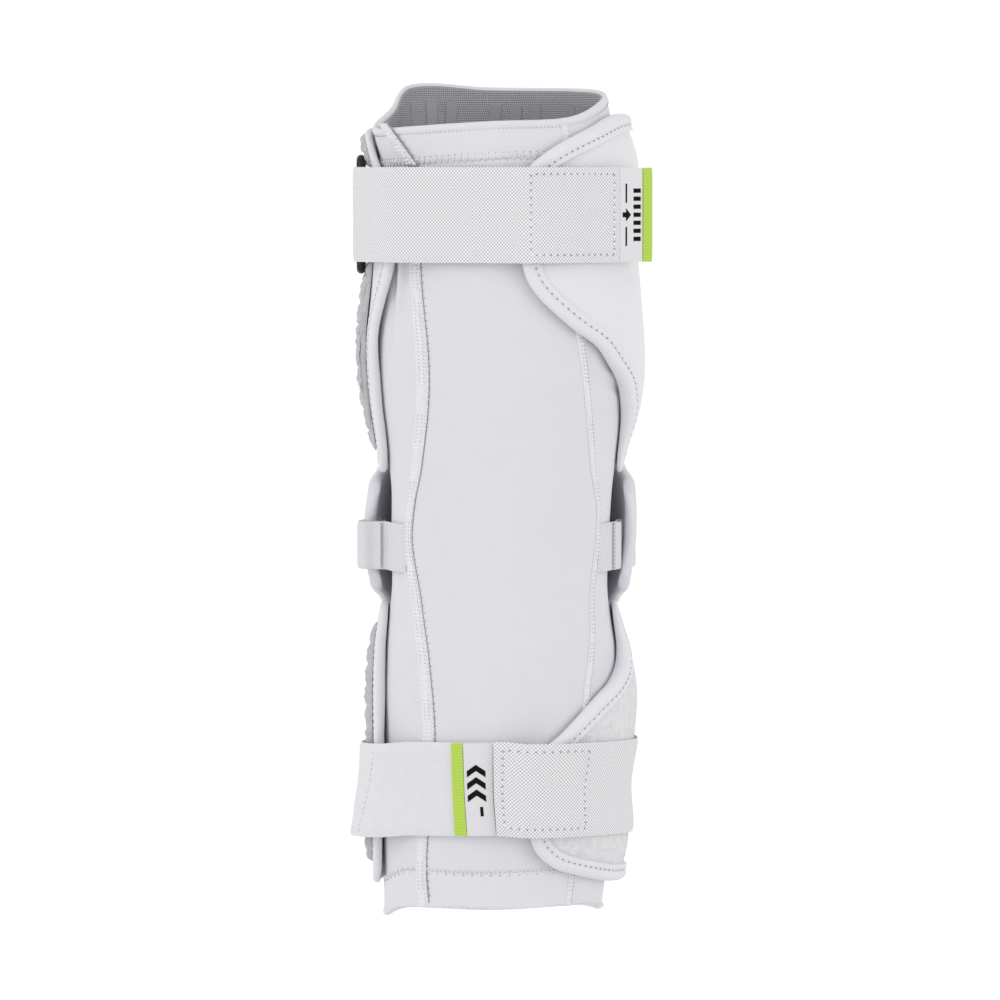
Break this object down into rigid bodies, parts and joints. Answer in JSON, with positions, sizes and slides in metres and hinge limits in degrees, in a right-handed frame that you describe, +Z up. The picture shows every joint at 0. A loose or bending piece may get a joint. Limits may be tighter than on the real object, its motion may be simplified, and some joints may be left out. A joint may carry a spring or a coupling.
{
  "type": "lacrosse arm pad",
  "caption": "Left-arm lacrosse pad: stretch sleeve with padded upper-arm and forearm guards, a domed elbow cap on elastic, ribbed foam panels and hook-and-loop straps.",
  "frame": {"origin": "The middle of the arm at the elbow, which is the mount named arm.", "axes": "+Z runs up the arm from the wrist to the shoulder, +Y to the outer side with the elbow cap, +X to the right seen from the inner side, where the upper strap's pull tab is."},
  "size_m": [0.1227, 0.1047, 0.3376],
  "materials": {
    "jersey": "fine stretch jersey, matt",
    "cuff_jersey": "folded stretch jersey with a zigzag stitch line",
    "lining_mesh": "grey knitted mesh with rubbery grip marks",
    "seam_thread": "flatlock stitching",
    "guard_cloth": "smooth cloth laminated to foam padding",
    "loop_cloth": "short loop pile laminated to foam padding",
    "binding_cloth": "rolled stretch binding, one row of stitches",
    "foam_cloth": "wrinkled grey mesh cloth over ribbed foam",
    "elastic": "knitted elastic webbing",
    "cap_elastic": "narrow plain elastic",
    "hook_tape": "hook tape",
    "pile_tape": "brushed loop tape",
    "satin_label": "satin ribbon, blank but for plain marks",
    "green_ribbon": "bright green ribbon",
    "cap_shell": "moulded, satin",
    "ring_plastic": "black, glossy"
  },
  "bodies": {
    "root": {"sleeve": "jersey", "top_cuff": "cuff_jersey", "bottom_cuff": "cuff_jersey", "grip_lining": "lining_mesh", "left_seam": "seam_thread", "right_seam": "seam_thread", "rim_seam": "seam_thread", "upper_guard": "guard_cloth", "upper_binding": "binding_cloth", "forearm_guard": "loop_cloth", "forearm_binding": "binding_cloth", "upper_foam": "foam_cloth", "upper_side_foam": "foam_cloth", "upper_rim_foam": "foam_cloth", "forearm_foam": "foam_cloth", "elbow_cap": "cap_shell", "ring": "ring_plastic", "ring_keeper": "elastic", "upper_strap": "elastic", "upper_strap_hook": "hook_tape", "upper_strap_label": "satin_label", "upper_strap_pull": "green_ribbon", "lower_strap": "elastic", "lower_strap_hook": "hook_tape", "lower_strap_pile": "pile_tape", "lower_strap_label": "satin_label", "lower_strap_stripe": "green_ribbon", "left_cap_strap": "cap_elastic", "right_cap_strap": "cap_elastic"}
  },
  "joints": []
}
